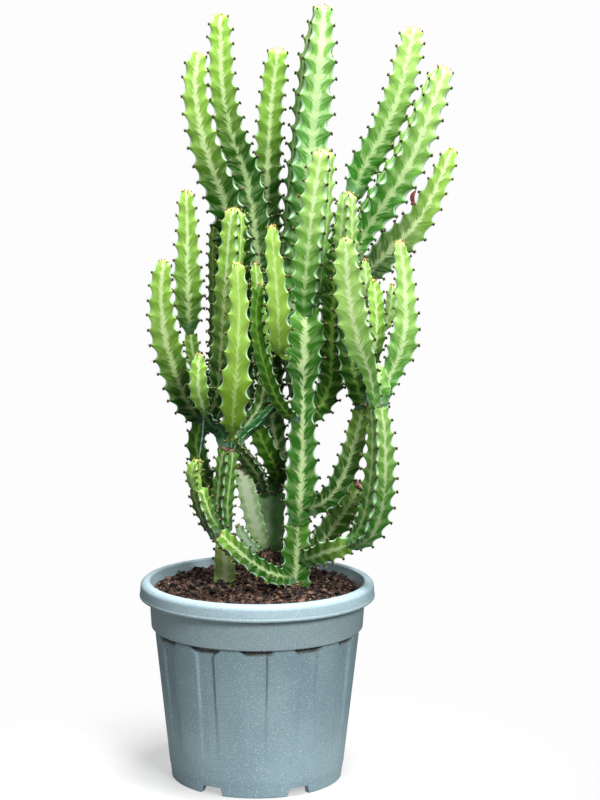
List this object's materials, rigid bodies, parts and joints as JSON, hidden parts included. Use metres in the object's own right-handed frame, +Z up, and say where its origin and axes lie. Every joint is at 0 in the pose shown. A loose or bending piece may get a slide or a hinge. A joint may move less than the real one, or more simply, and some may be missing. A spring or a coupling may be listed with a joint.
{
  "type": "potted euphorbia",
  "caption": "Candelabra-shaped succulent spurge with toothed, winged green stems, growing from dark peat in a fluted grey-blue nursery pot.",
  "frame": {"origin": "centre of the pot's underside, on the surface it stands on", "axes": "+Z up along the pot's axis and the plant's height, -Y towards the front of the plant, +X to the right when seen from the front"},
  "size_m": [0.3608, 0.2738, 0.8805],
  "materials": {
    "pot_plastic": "satin",
    "peat": "matte",
    "plug_peat": "matte",
    "stem_green": "satin",
    "stem_young": "satin",
    "stem_dark": "satin",
    "stem_olive": "satin",
    "stem_waxy": "satin"
  },
  "bodies": {
    "root": {"pot": "pot_plastic", "soil": "peat", "peat_plug": "plug_peat", "trunk_front": "stem_dark", "trunk_rear": "stem_waxy", "trunk_left": "stem_waxy", "column_middle": "stem_green", "column_top": "stem_young", "shoot_tall_rear": "stem_young", "shoot_rear_centre": "stem_green", "shoot_top_left_inner": "stem_green", "arm_rear_left": "stem_dark", "shoot_top_left_outer": "stem_green", "arm_front_left": "stem_dark", "shoot_front_olive": "stem_olive", "shoot_slim_rear": "stem_green", "shoot_slim_front": "stem_green", "shoot_front_centre": "stem_olive", "arm_right_rear": "stem_dark", "shoot_right_inner": "stem_young", "arm_right": "stem_green", "arm_right_upper": "stem_dark", "shoot_right_middle": "stem_young", "shoot_right_outer": "stem_green", "shoot_right_back": "stem_young", "shoot_right_marbled": "stem_green", "shoot_right_small": "stem_young", "shoot_right_tiny": "stem_young", "arm_low_right": "stem_green", "riser_low_right": "stem_green", "shoot_right_front_left": "stem_young", "shoot_right_front_right": "stem_young", "shoot_low_right_thin": "stem_dark", "stub_right_cut": "stem_dark", "arm_left": "stem_dark", "shoot_left_outer": "stem_green", "arm_left_front": "stem_green", "shoot_left_tall": "stem_green", "shoot_left_short": "stem_green", "shoot_left_rear": "stem_green", "shoot_left_inner": "stem_green", "shoot_low_centre": "stem_green", "arm_low_left": "stem_green", "arm_low_left_end": "stem_green", "shoot_low_left": "stem_young", "stub_pale_cut": "stem_young", "stub_small_dark": "stem_waxy"}
  },
  "joints": []
}
